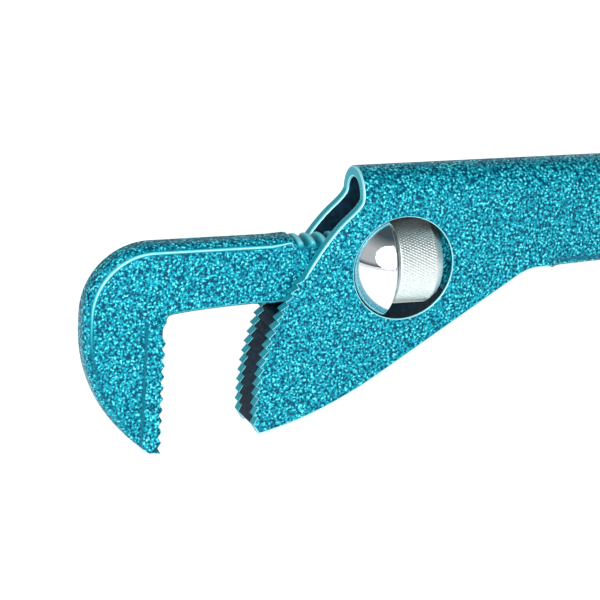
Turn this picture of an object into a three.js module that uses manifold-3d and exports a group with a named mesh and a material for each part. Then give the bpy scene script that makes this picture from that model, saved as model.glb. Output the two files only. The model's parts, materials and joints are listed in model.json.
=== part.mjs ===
// One-hand pipe wrench: folded sheet handle, hook jaw with a threaded shank, adjusting nut in round windows.
// Millimetres, +X along the handle away from the jaws, +Z toward the fold, +Y through the jaws' width.
// Every size below is counted from the windows' centre; the outer group moves the model onto its base.
import * as THREE from 'three';
import { mergeVertices } from 'three/addons/utils/BufferGeometryUtils.js';
import Module from 'manifold-3d';

const wasm = await Module();
wasm.setup();

// ---- driving sizes -------------------------------------------------------------------------------------
const CLEAR = 0.3;              // gap kept between touching pieces
const OVERCUT = 1;              // cutters reach this far past what they cut
const SLACK = 0.35;             // radial and axial play of the thread and of the plain bores

const BODY_WIDTH = 19;          // outside of the folded handle
const SHEET = 4;                // thickness of the handle's steel sheet
const FOLD_TOP = 34.5;          // top of the fold
const NOSE_X = -16.5;           // front end of the fold
const NOSE_BEND = { fromZ: 27, z: 23.2 };       // the nose is upright down to fromZ and turns forward about z
const SHOULDER = { x: -20.7, z: 19.4 };         // the front edge runs through here
const SHOULDER_BEND = { x: -28.5, z: 12.6 };    // and bends about here on its way to the first tooth
const HANDLE_END_X = 240;
const KINK = { x: 47.3, z: -3.1 };      // where the jaw's lower edge meets the grip's
const KINK_REACH = 3.5;         // the kink's bend starts and ends this far from it
const GRIP_RISE = THREE.MathUtils.degToRad(2.95);
const LIP_START_X = 57;         // the plates' lower edges are bent inward from here on
const LIP_SLOT = 4;             // slot left between the two lips
const LIP_RADIUS = 3;

const JAW_RADIUS = 80;          // arc that the lower jaw's tooth valleys lie on
const JAW_CENTRE = { x: 29.5, z: -47.5 };
const JAW_TOP_ANGLE = THREE.MathUtils.degToRad(34.6);
const JAW_TEETH = 16;
const JAW_PITCH = 3.43;
const JAW_TOOTH = 1.5;          // height of a saw tooth
const JAW_TIP_SHARE = 0.8;      // where in its pitch a tooth has its tip
const TOE = { x: -49.6, z: -56.9 };
const SOLE = { x: -28.5, z: -52.2 };    // the lower jaw's round edge bends about here
const BELLY = { x: -8, z: -39.2 };      // it ends here and the straight one starts
const INSERT_TOP = -15;
const INSERT_INSET = 1.6;       // the insert stays this far inside the plates' lower edge
const INSERT_REAR_X = -5;
const INSERT_SEAT_GAP = 1;      // room between the insert and the thrust ring's ball

const SEAT_RADIUS = 20;         // ball of the thrust ring
const RING_FRONT_X = -18.3;
const RING_RIM_X = -6;          // the ball ends here and the neck toward the nut starts
const RING_NECK = 12.9;         // radius of the neck
const NUT_START_X = -3.3;
const NUT_EDGE_X = 10.6;        // the knurl ends here and the chamfer starts
const NUT_END_X = 13.5;
const NUT_RADIUS = 14.9;
const NUT_NOSE = 12.5;          // radius of the chamfer's small end
const NUT_BREAK = 0.6;          // broken edge at the ring's side

const THREAD_RADIUS = 11.25;
const THREAD_DEPTH = 1.45;
const THREAD_PITCH = 4.5;
const THREAD_CREST = 0.35;      // crest's share of the pitch
const THREAD_FLANK = 0.2;       // one flank's share of the pitch
const THREAD_START_X = -38;     // the plain arm ends here
const THREAD_COLUMNS = 32;      // corners per turn of the screw surfaces
const SHANK_END_X = 34;
const ARM_TOP = 11.4;
const ARM_BOTTOM = -11.3;
const ARM_START_X = -62;        // the arm is parallel from here on

const HOOK_LEFT_X = -112.5;
const HOOK_TIP_Z = -62.2;
const HOOK_CORNER = 24;         // radius of the hook's upper outer corner
const HOOK_BACK = 53.5;         // radius of its back
const HOOK_BACK_Z = -17;
const HOOK_TIP_X = -84;         // tips of the hook's teeth
const HOOK_TOE_X = -88.7;
const HOOK_TOE_BEVEL = 1.2;
const HOOK_TEETH = 11;
const HOOK_PITCH = 3.96;
const HOOK_TOOTH = 1.24;
const NOTCH = 2.5;              // plain height between the teeth and the nose over them
const THROAT = { x: -80.6, z: -13.2 };  // the arm's underside starts here
const PAD_PROUD = 1.6;          // the toothed edge stands out this far on each side
const PAD_DEPTH = 7.4;
const PAD_TOP = -15.4;
const PAD_SLOPE = 2.6;          // height over which its upper end slopes back to the web

const STOP_PIN_RADIUS = 1.5;
const STOP_PIN_BACK = 3.5;      // from the shank's end to the pin's axis
const STOP_PIN_PROUD = 2;
const STOP_PIN_LENGTH = 10;

const SPRING_SIDE_GAP = 1.5;    // between the leaf's edges and the plates
const SPRING_SHEET = 0.9;
const SPRING_PIN = { x: 84, z: 21 };
const SPRING_PIN_RADIUS = 2;
const SPRING_EYE_TURN = THREE.MathUtils.degToRad(290);
const SPRING_TOUCH_X = 25;      // the leaf rests on the shank here
const SPRING_TIP_X = -9;
const SPRING_TIP_LIFT = 2.2;    // the leaf's tip ends this far above the fold's centre
const EYE_EASE = 22;            // how far the leaf runs on in its own direction from the eye
const TOUCH_EASE = 14;          // from the shank toward the eye, and from the tip
const TAIL_EASE = 9;            // from the shank toward the tip
const HEAD_RADIUS = 3.8;
const HEAD_HEIGHT = 1.5;
const HEAD_RIM = 0.4;           // height of the head's upright rim

const EYELET_BACK = 14;         // from the handle's end to the eyelet's centre
const EYELET_RADIUS = 6;
const EYELET_BORE = 4.8;
const EYELET_FLANGE = 8;
const EYELET_LIP = 1;

// ---- sizes worked out from them ------------------------------------------------------------------------
const HALF = BODY_WIDTH / 2;
const CHANNEL = BODY_WIDTH - 2 * SHEET;
const FOLD_CENTRE_Z = FOLD_TOP - HALF;
const jawEdgeSlope = (KINK.z - BELLY.z) / (KINK.x - BELLY.x);
const gripEdge = (x) => KINK.z + (x - KINK.x) * Math.tan(GRIP_RISE);
const END_RADIUS = (FOLD_TOP - gripEdge(HANDLE_END_X)) / 2;
const EYELET_X = HANDLE_END_X - EYELET_BACK;
const EYELET_Z = FOLD_TOP - END_RADIUS;
const SHANK_WIDTH = CHANNEL - 2 * CLEAR;    // thickness of the flat shank and of the whole hook
const SPRING_WIDTH = CHANNEL - 2 * SPRING_SIDE_GAP;
const SPRING_TIP = { x: SPRING_TIP_X, z: FOLD_CENTRE_Z + SPRING_TIP_LIFT };
const ROOT_RADIUS = THREAD_RADIUS - THREAD_DEPTH;
const REACH = 2 * (HANDLE_END_X - HOOK_LEFT_X);     // longer than the whole object, for cutters

// ---- helpers -------------------------------------------------------------------------------------------
function solid(geometry) {
  const bare = geometry.index ? geometry.toNonIndexed() : geometry.clone();
  bare.deleteAttribute('normal');
  bare.deleteAttribute('uv');
  const merged = mergeVertices(bare, 1e-4);
  const corners = merged.index.array;
  const triangles = [];
  for (let i = 0; i < corners.length; i += 3) {
    const [a, b, c] = corners.slice(i, i + 3);
    if (a !== b && b !== c && c !== a) { triangles.push(a, b, c); }
  }
  const build = (triVerts) => new wasm.Manifold(new wasm.Mesh({
    numProp: 3,
    vertProperties: new Float32Array(merged.attributes.position.array),
    triVerts: new Uint32Array(triVerts),
  }));
  const body = build(triangles);
  return body.volume() > 0 ? body : build(triangles.reverse());
}

function geometryOf(body) {
  const mesh = body.getMesh();
  const geometry = new THREE.BufferGeometry();
  geometry.setAttribute('position', new THREE.BufferAttribute(mesh.vertProperties, 3));
  geometry.setIndex(new THREE.BufferAttribute(mesh.triVerts, 1));
  geometry.computeVertexNormals();
  return geometry;
}

// a side view (x, z) given thickness along Y, centred on the middle plane
function sidePlate(shape, width) {
  const geometry = new THREE.ExtrudeGeometry(shape, { depth: width, bevelEnabled: false, curveSegments: 10 });
  geometry.translate(0, 0, -width / 2);
  geometry.rotateX(Math.PI / 2);
  return solid(geometry);
}

// a cross-section (y, z) given length along X
function crossBar(shape, fromX, toX) {
  const depth = toX - fromX;
  const geometry = new THREE.ExtrudeGeometry(shape, { depth, bevelEnabled: false, curveSegments: 12 });
  geometry.rotateY(Math.PI / 2);
  geometry.rotateX(Math.PI / 2);
  geometry.translate(fromX, 0, 0);
  return solid(geometry);
}

function box(fromX, toX, width, fromZ, toZ) {
  const geometry = new THREE.BoxGeometry(toX - fromX, width, toZ - fromZ);
  geometry.translate((fromX + toX) / 2, 0, (fromZ + toZ) / 2);
  return solid(geometry);
}

// a closed (radius, height) profile turned about Y, where LatheGeometry turns it
function turned(profile, segments) {
  const points = profile.map(([radius, height]) => new THREE.Vector2(radius, height));
  return solid(new THREE.LatheGeometry([...points, points[0]], segments));
}

function turnedAlongX(profile, segments) {
  return turned(profile.map(([radius, x]) => [radius, -x]), segments).rotate([0, 0, 90]);
}

const enamel = { colour: 0x1796ab, roughness: 0.35, metalness: 0.3 };
const chrome = { colour: 0xd8dde0, roughness: 0.08, metalness: 1 };
const satin = { colour: 0xc3cdca, roughness: 0.3, metalness: 1 };
const steel = { colour: 0x8a8f94, roughness: 0.4, metalness: 1 };

// ---- outlines ------------------------------------------------------------------------------------------
const jawPoint = (angle, lift) => [
  JAW_CENTRE.x - (JAW_RADIUS + lift) * Math.cos(angle),
  JAW_CENTRE.z + (JAW_RADIUS + lift) * Math.sin(angle),
];

// the lower jaw's saw teeth, from the top down
function jawTeeth(shape) {
  const step = JAW_PITCH / JAW_RADIUS;
  for (let i = 0; i < JAW_TEETH; i += 1) {
    const start = JAW_TOP_ANGLE - i * step;
    shape.lineTo(...jawPoint(start, 0));
    shape.lineTo(...jawPoint(start - JAW_TIP_SHARE * step, JAW_TOOTH));
  }
}

function handleOutline() {
  const shape = new THREE.Shape();
  shape.moveTo(NOSE_X, FOLD_TOP);
  shape.lineTo(NOSE_X, NOSE_BEND.fromZ);
  shape.quadraticCurveTo(NOSE_X, NOSE_BEND.z, SHOULDER.x, SHOULDER.z);
  shape.quadraticCurveTo(SHOULDER_BEND.x, SHOULDER_BEND.z, ...jawPoint(JAW_TOP_ANGLE, 0));
  jawTeeth(shape);
  shape.lineTo(TOE.x, TOE.z);
  shape.quadraticCurveTo(SOLE.x, SOLE.z, BELLY.x, BELLY.z);
  shape.lineTo(KINK.x - KINK_REACH, KINK.z - KINK_REACH * jawEdgeSlope);
  shape.quadraticCurveTo(KINK.x, KINK.z, KINK.x + KINK_REACH, gripEdge(KINK.x + KINK_REACH));
  const endX = HANDLE_END_X - END_RADIUS;
  shape.lineTo(endX, gripEdge(endX));
  shape.absarc(endX, EYELET_Z, END_RADIUS, -Math.PI / 2, Math.PI / 2, false);
  shape.closePath();
  return shape;
}

// an upside-down U: straight sides under a half round
function archSection(halfWidth) {
  const shape = new THREE.Shape();
  shape.moveTo(halfWidth, -REACH);
  shape.lineTo(halfWidth, FOLD_CENTRE_Z);
  shape.absarc(0, FOLD_CENTRE_Z, halfWidth, 0, Math.PI, false);
  shape.lineTo(-halfWidth, -REACH);
  shape.closePath();
  return shape;
}

// the space above the bent-in lips, in side view
function aboveLips() {
  const shape = new THREE.Shape();
  shape.moveTo(LIP_START_X, gripEdge(LIP_START_X) - SHEET);
  shape.lineTo(LIP_START_X + SHEET, gripEdge(LIP_START_X + SHEET) + SHEET);
  shape.lineTo(HANDLE_END_X + SHEET, gripEdge(HANDLE_END_X) + SHEET);
  shape.lineTo(HANDLE_END_X + SHEET, FOLD_TOP);
  shape.lineTo(LIP_START_X, FOLD_TOP);
  shape.closePath();
  return shape;
}

// what a rounded lower corner takes away, side = 1 or -1
function cornerCutter(side) {
  const shape = new THREE.Shape();
  const outside = side * (HALF + OVERCUT);
  const centre = side * (HALF - LIP_RADIUS);
  shape.moveTo(outside, -OVERCUT);
  shape.lineTo(centre, -OVERCUT);
  shape.absarc(centre, LIP_RADIUS, LIP_RADIUS, -Math.PI / 2, side > 0 ? 0 : -Math.PI, side < 0);
  shape.lineTo(outside, LIP_RADIUS);
  shape.closePath();
  const length = (HANDLE_END_X - END_RADIUS - LIP_START_X) / Math.cos(GRIP_RISE);
  return crossBar(shape, 0, length)
    .rotate([0, -THREE.MathUtils.radToDeg(GRIP_RISE), 0])
    .translate([LIP_START_X, 0, gripEdge(LIP_START_X)]);
}

// ---- handle --------------------------------------------------------------------------------------------
function windowBall(radius) {
  return solid(new THREE.SphereGeometry(radius, 64, 32));
}

function acrossHole(radius, x, z) {
  const geometry = new THREE.CylinderGeometry(radius, radius, 2 * BODY_WIDTH, 32);
  return solid(geometry).translate([x, 0, z]);
}

function handleShell() {
  const bend = crossBar(archSection(HALF), -REACH, REACH);
  const outside = sidePlate(handleOutline(), BODY_WIDTH).intersect(bend);
  const channel = crossBar(archSection(CHANNEL / 2), -REACH, REACH);
  const front = box(-REACH, LIP_START_X, CHANNEL, -REACH, FOLD_TOP);
  const rear = sidePlate(aboveLips(), CHANNEL);
  const slot = box(LIP_START_X - OVERCUT, REACH, LIP_SLOT, -REACH, EYELET_Z);
  return outside
    .subtract(channel.intersect(front.add(rear)))
    .subtract(slot)
    .subtract(windowBall(SEAT_RADIUS + CLEAR))
    .subtract(cornerCutter(1))
    .subtract(cornerCutter(-1))
    .subtract(acrossHole(SPRING_PIN_RADIUS + CLEAR, SPRING_PIN.x, SPRING_PIN.z))
    .subtract(acrossHole(EYELET_RADIUS + CLEAR, EYELET_X, EYELET_Z));
}

// toothed block between the plates, with the same teeth in line with theirs
function lowerJawInsert() {
  const region = new THREE.Shape();
  const lift = INSERT_INSET * Math.hypot(1, jawEdgeSlope);
  region.moveTo(-REACH, INSERT_TOP);
  region.lineTo(-REACH, TOE.z + INSERT_INSET);
  region.lineTo(TOE.x, TOE.z + INSERT_INSET);
  region.quadraticCurveTo(SOLE.x, SOLE.z + lift, BELLY.x, BELLY.z + lift);
  region.lineTo(INSERT_REAR_X, BELLY.z + lift + (INSERT_REAR_X - BELLY.x) * jawEdgeSlope);
  region.lineTo(INSERT_REAR_X, INSERT_TOP);
  region.closePath();
  const width = CHANNEL - 2 * SLACK;
  return sidePlate(handleOutline(), width)
    .intersect(sidePlate(region, width))
    .subtract(windowBall(SEAT_RADIUS + INSERT_SEAT_GAP));
}

// ---- adjusting nut -------------------------------------------------------------------------------------
// Screw surface about X: the thread's corners move on by one pitch per turn, one column of points per angle.
function screwColumn(column, rootRadius, crestRadius, crestShare, fromX, toX) {
  const corners = [
    [-crestShare / 2, crestRadius], [crestShare / 2, crestRadius],
    [crestShare / 2 + THREAD_FLANK, rootRadius], [1 - crestShare / 2 - THREAD_FLANK, rootRadius],
  ];
  const points = [[fromX, rootRadius]];
  const margin = 0.02;
  const firstTurn = Math.floor((fromX - THREAD_START_X) / THREAD_PITCH) - 2;
  const lastTurn = Math.ceil((toX - THREAD_START_X) / THREAD_PITCH) + 1;
  for (let turn = firstTurn; turn <= lastTurn; turn += 1) {
    corners.forEach(([share, radius]) => {
      const x = THREAD_START_X + (turn + share + column / THREAD_COLUMNS) * THREAD_PITCH;
      if (x > fromX + margin && x < toX - margin) { points.push([x, radius]); }
    });
  }
  points.push([toX, rootRadius]);
  return points;
}

function screw(rootRadius, crestRadius, crestShare, fromX, toX) {
  const positions = [fromX, 0, 0, toX, 0, 0];
  const columns = [];
  for (let column = 0; column < THREAD_COLUMNS; column += 1) {
    const angle = (column / THREAD_COLUMNS) * 2 * Math.PI;
    const points = screwColumn(column, rootRadius, crestRadius, crestShare, fromX, toX);
    columns.push(points.map(([x, radius]) => {
      positions.push(x, radius * Math.cos(angle), radius * Math.sin(angle));
      return { x, vertex: positions.length / 3 - 1 };
    }));
  }
  const index = [];
  columns.forEach((left, column) => {
    const right = columns[(column + 1) % THREAD_COLUMNS];
    index.push(0, right[0].vertex, left[0].vertex);
    index.push(1, left.at(-1).vertex, right.at(-1).vertex);
    let [i, j] = [0, 0];
    while (i < left.length - 1 || j < right.length - 1) {
      const advanceLeft = j === right.length - 1 || (i < left.length - 1 && left[i + 1].x <= right[j + 1].x);
      const next = advanceLeft ? left[i + 1] : right[j + 1];
      index.push(left[i].vertex, right[j].vertex, next.vertex);
      if (advanceLeft) { i += 1; } else { j += 1; }
    }
  });
  const geometry = new THREE.BufferGeometry();
  geometry.setAttribute('position', new THREE.Float32BufferAttribute(positions, 3));
  geometry.setIndex(index);
  return solid(geometry);
}

// a ball zone and its neck, with a flat-sided bore that keeps the shank from turning
function domedThrustRing() {
  const backX = NUT_START_X - CLEAR;
  const steps = 14;
  const profile = [[0, RING_FRONT_X]];
  for (let i = 0; i <= steps; i += 1) {
    const x = RING_FRONT_X + (RING_RIM_X - RING_FRONT_X) * (i / steps);
    profile.push([Math.sqrt(SEAT_RADIUS ** 2 - x ** 2), x]);
  }
  profile.push([RING_NECK, RING_RIM_X], [RING_NECK, backX], [0, backX]);
  const boreRadius = THREAD_RADIUS + SLACK;
  const bore = turnedAlongX([[0, -REACH], [boreRadius, -REACH], [boreRadius, 0], [0, 0]], 64);
  const flats = box(-REACH, 0, SHANK_WIDTH + 2 * SLACK, -REACH, REACH);
  return turnedAlongX(profile, 64).subtract(bore.intersect(flats));
}

function knurledNut() {
  const blank = turnedAlongX([
    [0, NUT_START_X], [NUT_RADIUS - NUT_BREAK, NUT_START_X], [NUT_RADIUS, NUT_START_X + NUT_BREAK],
    [NUT_RADIUS, NUT_EDGE_X], [NUT_NOSE, NUT_END_X], [0, NUT_END_X],
  ], 64);
  const crestShare = THREAD_CREST + 2 * SLACK / THREAD_PITCH;
  const fromX = NUT_START_X - THREAD_PITCH;
  const toX = NUT_END_X + THREAD_PITCH;
  return blank.subtract(screw(ROOT_RADIUS + SLACK, THREAD_RADIUS + SLACK, crestShare, fromX, toX));
}

// ---- hook jaw ------------------------------------------------------------------------------------------
function hookOutline() {
  const shape = new THREE.Shape();
  shape.moveTo(THREAD_START_X, ARM_BOTTOM);
  shape.lineTo(THREAD_START_X, ARM_TOP);
  shape.absarc(HOOK_LEFT_X + HOOK_CORNER, ARM_TOP - HOOK_CORNER, HOOK_CORNER, Math.PI / 2, Math.PI, false);
  const backX = HOOK_LEFT_X + HOOK_BACK;
  const toeAngle = Math.acos((backX - HOOK_TOE_X) / HOOK_BACK);
  shape.absarc(backX, HOOK_BACK_Z, HOOK_BACK, Math.PI, Math.PI + toeAngle, false);
  shape.lineTo(HOOK_TOE_X + HOOK_TOE_BEVEL, HOOK_TIP_Z);
  const valleyX = HOOK_TIP_X - HOOK_TOOTH;
  for (let i = 0; i < HOOK_TEETH; i += 1) {
    const tipZ = HOOK_TIP_Z + i * HOOK_PITCH;
    shape.lineTo(HOOK_TIP_X, tipZ);
    shape.lineTo(valleyX, tipZ + HOOK_PITCH / 2);
  }
  // a plain stretch over the last tooth, ending in a small nose
  shape.lineTo(valleyX, PAD_TOP - NOTCH);
  shape.quadraticCurveTo(valleyX, PAD_TOP - NOTCH / 2, HOOK_TIP_X, PAD_TOP);
  shape.quadraticCurveTo(HOOK_TIP_X, THROAT.z, THROAT.x, THROAT.z);
  shape.lineTo(ARM_START_X, ARM_BOTTOM);
  shape.closePath();
  return shape;
}

// the toothed edge stands out on both sides, and its upper end slopes back to the web
function toothedPad() {
  const webHalf = SHANK_WIDTH / 2;
  const padHalf = webHalf + PAD_PROUD;
  const section = new THREE.Shape();
  section.moveTo(-padHalf, HOOK_TIP_Z - OVERCUT);
  section.lineTo(padHalf, HOOK_TIP_Z - OVERCUT);
  section.lineTo(padHalf, PAD_TOP);
  section.lineTo(webHalf, PAD_TOP + PAD_SLOPE);
  section.lineTo(-webHalf, PAD_TOP + PAD_SLOPE);
  section.lineTo(-padHalf, PAD_TOP);
  section.closePath();
  const edge = crossBar(section, HOOK_TIP_X - PAD_DEPTH, HOOK_TIP_X + OVERCUT);
  return sidePlate(hookOutline(), SHANK_WIDTH + 2 * PAD_PROUD).intersect(edge);
}

const STOP_PIN_X = SHANK_END_X - STOP_PIN_BACK;
const STOP_PIN_LOW = -THREAD_RADIUS - STOP_PIN_PROUD;

function uprightPin(radius, fromZ, toZ) {
  const geometry = new THREE.CylinderGeometry(radius, radius, toZ - fromZ, 24);
  geometry.rotateX(Math.PI / 2);
  return solid(geometry).translate([STOP_PIN_X, 0, (fromZ + toZ) / 2]);
}

function hookJaw() {
  const thread = screw(ROOT_RADIUS, THREAD_RADIUS, THREAD_CREST, THREAD_START_X - OVERCUT, SHANK_END_X);
  const flats = box(-REACH, REACH, SHANK_WIDTH, -REACH, REACH);
  const holeTop = STOP_PIN_LOW + STOP_PIN_LENGTH + CLEAR;
  const pinHole = uprightPin(STOP_PIN_RADIUS + CLEAR, STOP_PIN_LOW - OVERCUT, holeTop);
  return sidePlate(hookOutline(), SHANK_WIDTH)
    .add(thread.intersect(flats))
    .add(toothedPad())
    .subtract(pinHole);
}

// ---- spring and fasteners ------------------------------------------------------------------------------
// flat strip bent in side view, from the eye on its pin down to the shank and up under the fold
function leafSpring() {
  const eye = SPRING_PIN_RADIUS + CLEAR + SPRING_SHEET / 2;
  const pinCentre = new THREE.Vector2(SPRING_PIN.x, SPRING_PIN.z);
  const eyeTop = new THREE.Vector2(SPRING_PIN.x, SPRING_PIN.z + eye);
  const centreLine = [];
  const eyeSteps = 18;
  for (let i = 0; i < eyeSteps; i += 1) {
    const angle = Math.PI / 2 - SPRING_EYE_TURN * (1 - i / eyeSteps);
    const wrapped = new THREE.Vector2(Math.cos(angle), Math.sin(angle)).multiplyScalar(eye);
    centreLine.push(wrapped.add(pinCentre));
  }
  const touch = new THREE.Vector2(SPRING_TOUCH_X, THREAD_RADIUS + CLEAR + SPRING_SHEET / 2);
  const leaf = new THREE.CubicBezierCurve(
    eyeTop,
    new THREE.Vector2(SPRING_PIN.x - EYE_EASE, eyeTop.y),
    new THREE.Vector2(SPRING_TOUCH_X + TOUCH_EASE, touch.y),
    touch,
  );
  const tail = new THREE.CubicBezierCurve(
    touch,
    new THREE.Vector2(SPRING_TOUCH_X - TAIL_EASE, touch.y),
    new THREE.Vector2(SPRING_TIP.x + TOUCH_EASE, SPRING_TIP.z),
    new THREE.Vector2(SPRING_TIP.x, SPRING_TIP.z),
  );
  centreLine.push(...leaf.getPoints(16), ...tail.getPoints(14).slice(1));
  const sides = centreLine.map((point, i) => {
    const before = centreLine[Math.max(i - 1, 0)];
    const after = centreLine[Math.min(i + 1, centreLine.length - 1)];
    const across = after.clone().sub(before).normalize().multiplyScalar(SPRING_SHEET / 2);
    return [new THREE.Vector2(point.x - across.y, point.y + across.x),
      new THREE.Vector2(point.x + across.y, point.y - across.x)];
  });
  const shape = new THREE.Shape([...sides.map((pair) => pair[0]), ...sides.map((pair) => pair[1]).reverse()]);
  return sidePlate(shape, SPRING_WIDTH);
}

function springPin() {
  const under = HALF + CLEAR;
  const top = under + HEAD_HEIGHT;
  const rim = [[HEAD_RADIUS, under + HEAD_RIM], [HEAD_RADIUS, under]];
  const crown = [[0, top], [HEAD_RADIUS * 0.6, top - HEAD_RIM / 2], ...rim];
  const mirrored = crown.map(([radius, y]) => [radius, -y]).reverse();
  return turned([...crown, [SPRING_PIN_RADIUS, under], [SPRING_PIN_RADIUS, -under], ...mirrored], 32);
}

function hangingEyelet() {
  const under = HALF + CLEAR;
  const face = under + EYELET_LIP;
  const roll = EYELET_LIP / 2;
  return turned([
    [EYELET_BORE + roll, face], [EYELET_FLANGE, face], [EYELET_FLANGE, under], [EYELET_RADIUS, under],
    [EYELET_RADIUS, -under], [EYELET_FLANGE, -under], [EYELET_FLANGE, -face], [EYELET_BORE + roll, -face],
    [EYELET_BORE, -face + roll], [EYELET_BORE, face - roll],
  ], 40);
}

// ---- assembly ------------------------------------------------------------------------------------------
function named(name, body, look, x = 0, z = 0) {
  const { colour, roughness, metalness } = look;
  const material = new THREE.MeshStandardMaterial({ color: colour, roughness, metalness });
  const mesh = new THREE.Mesh(geometryOf(body), material);
  mesh.name = name;
  mesh.position.set(x, 0, z);
  return mesh;
}

const wrench = new THREE.Group();
wrench.add(
  named('handle_shell', handleShell(), enamel),
  named('lower_jaw_insert', lowerJawInsert(), enamel),
  named('hook_jaw', hookJaw(), enamel),
  named('shank_stop_pin', uprightPin(STOP_PIN_RADIUS, STOP_PIN_LOW, STOP_PIN_LOW + STOP_PIN_LENGTH), steel),
  named('domed_thrust_ring', domedThrustRing(), chrome),
  named('knurled_nut', knurledNut(), satin),
  named('leaf_spring', leafSpring(), steel),
  named('spring_pin', springPin(), steel, SPRING_PIN.x, SPRING_PIN.z),
  named('hanging_eyelet', hangingEyelet(), steel, EYELET_X, EYELET_Z),
);
wrench.position.set(-(HOOK_LEFT_X + HANDLE_END_X) / 2, 0, -HOOK_TIP_Z);

const group = new THREE.Group();
group.add(wrench);
export default group;
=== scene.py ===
"""One-hand pipe wrench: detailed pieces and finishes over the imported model.

Shapes are worked out in millimetres from the centre of the handle's round windows, with x along the handle,
y through its thickness and z toward the fold, and are turned to metres when a piece is placed.
"""
import json
import math
import bmesh
import bpy
from mathutils import Matrix, Vector


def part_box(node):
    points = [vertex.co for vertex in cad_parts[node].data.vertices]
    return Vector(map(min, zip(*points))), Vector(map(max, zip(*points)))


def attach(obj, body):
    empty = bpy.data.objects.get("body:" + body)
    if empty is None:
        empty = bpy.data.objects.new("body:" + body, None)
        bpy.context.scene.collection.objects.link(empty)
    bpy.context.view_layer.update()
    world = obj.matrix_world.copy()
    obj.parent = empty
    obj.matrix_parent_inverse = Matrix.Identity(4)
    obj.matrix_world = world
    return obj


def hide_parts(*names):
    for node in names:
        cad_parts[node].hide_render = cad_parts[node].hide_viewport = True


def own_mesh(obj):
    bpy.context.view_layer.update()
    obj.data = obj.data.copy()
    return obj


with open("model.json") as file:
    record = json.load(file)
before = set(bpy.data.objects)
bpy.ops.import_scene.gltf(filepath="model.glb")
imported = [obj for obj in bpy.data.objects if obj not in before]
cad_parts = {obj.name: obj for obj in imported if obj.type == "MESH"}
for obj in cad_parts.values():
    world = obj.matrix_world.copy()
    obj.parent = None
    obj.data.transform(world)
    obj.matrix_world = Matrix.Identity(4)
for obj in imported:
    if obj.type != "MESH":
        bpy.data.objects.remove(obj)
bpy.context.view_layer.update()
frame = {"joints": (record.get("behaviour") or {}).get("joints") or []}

MM = 0.001
MERGE = 1e-4            # mm; nearer vertices are one
SHARP_EDGE = 38.0       # degrees; sharper bends keep a hard edge in shading
MITER_LIMIT = 0.35      # keeps the inward step at a needle-sharp corner from running away


def joint_place(name):
    return Vector(next(j["pos_m"] for j in frame["joints"] if j["name"] == name))


def node_box(name):
    """A node's box in millimetres from the windows' centre."""
    low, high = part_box(name)
    return (low - CENTRE) / MM, (high - CENTRE) / MM


CENTRE = joint_place("jaw_rock")
SHELL_HIGH = node_box("handle_shell")[1]
HOOK_LOW, HOOK_HIGH = node_box("hook_jaw")
RING_LOW, RING_HIGH = node_box("domed_thrust_ring")
NUT_LOW, NUT_HIGH = node_box("knurled_nut")
INSERT_HIGH = node_box("lower_jaw_insert")[1]
SPRING_HIGH = node_box("leaf_spring")[1]
PIN_LOW, PIN_HIGH = node_box("spring_pin")
EYELET_LOW, EYELET_HIGH = node_box("hanging_eyelet")
STOP_LOW, STOP_HIGH = node_box("shank_stop_pin")

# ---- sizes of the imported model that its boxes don't give --------------------------------------------------
SHEET = 4.0                         # the folded plate's thickness
HALF = SHELL_HIGH.y                 # from the middle plane to the plates' outer faces
FOLD_TOP = SHELL_HIGH.z
FOLD_Z = FOLD_TOP - HALF
MID_RADIUS = HALF - SHEET / 2
NOSE_X = -16.5
HANDLE_END = SHELL_HIGH.x
KINK = (47.3, -3.1)                 # where the jaw's underside meets the grip's lower edge
GRIP_RISE = math.radians(2.95)
LIP_START = 57.0                    # right of here the grip's lower edges turn inward
JAW_CENTRE = (29.5, -47.5)
JAW_RADIUS = 80.0
JAW_TOP_ANGLE = math.radians(34.6)
JAW_TEETH = 16
JAW_PITCH = 3.43
JAW_TOOTH = 1.5
JAW_TIP_SHARE = 0.8                 # how far along its pitch a saw tooth has its tip
TOE = (-49.6, -56.9)
BELLY = (-8.0, -39.2)
SEAT = 20.3                         # radius of the ball seat in the windows
THREAD_START = -38.0
THREAD_RADIUS = 11.25
THREAD_ROOT = 9.8
THREAD_PITCH = 4.5
THREAD_CREST = 0.12
THREAD_FLANK = 0.34
ARM_TOP = 11.4
ARM_BOTTOM = -11.3
HOOK_TIP_X = -84.0
HOOK_TOOTH = 1.24
HOOK_PITCH = 3.96
HOOK_TEETH = 11
PAD_TOP = -15.4                     # the toothed pad stands out on each side of the hook below here
PAD_PROUD = 1.6
PAD_LEFT = HOOK_TIP_X - 7.4
SHANK_HALF = 5.2


# ---- small geometry helpers -------------------------------------------------------------------------------
def arc(centre, radius, start, end, steps):
    """Points on an arc, angles in radians, both ends included."""
    angles = (start + (end - start) * i / steps for i in range(steps + 1))
    return [(centre[0] + radius * math.cos(a), centre[1] + radius * math.sin(a)) for a in angles]


def curve(start, control, end, steps):
    """Points on a quadratic curve, without its first one."""
    points = []
    for i in range(1, steps + 1):
        t = i / steps
        points.append(tuple(
            (1 - t) ** 2 * a + 2 * t * (1 - t) * b + t * t * c for a, b, c in zip(start, control, end)
        ))
    return points


def smooth(value, low, high):
    t = min(max((value - low) / (high - low), 0.0), 1.0)
    return t * t * (3 - 2 * t)


def miters(outline):
    """For each corner, the step that moves both its edges inward by one; the outline runs anticlockwise."""
    steps = []
    count = len(outline)
    for i, point in enumerate(outline):
        here = Vector(point)
        before = (here - Vector(outline[i - 1])).normalized()
        after = (Vector(outline[(i + 1) % count]) - here).normalized()
        left = Vector((-before.y, before.x))
        right = Vector((-after.y, after.x))
        steps.append((left + right) / max(1 + left.dot(right), MITER_LIMIT))
    return steps


def anticlockwise(points):
    area = sum(a[0] * b[1] - b[0] * a[1] for a, b in zip(points, points[1:] + points[:1]))
    return area > 0


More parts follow.
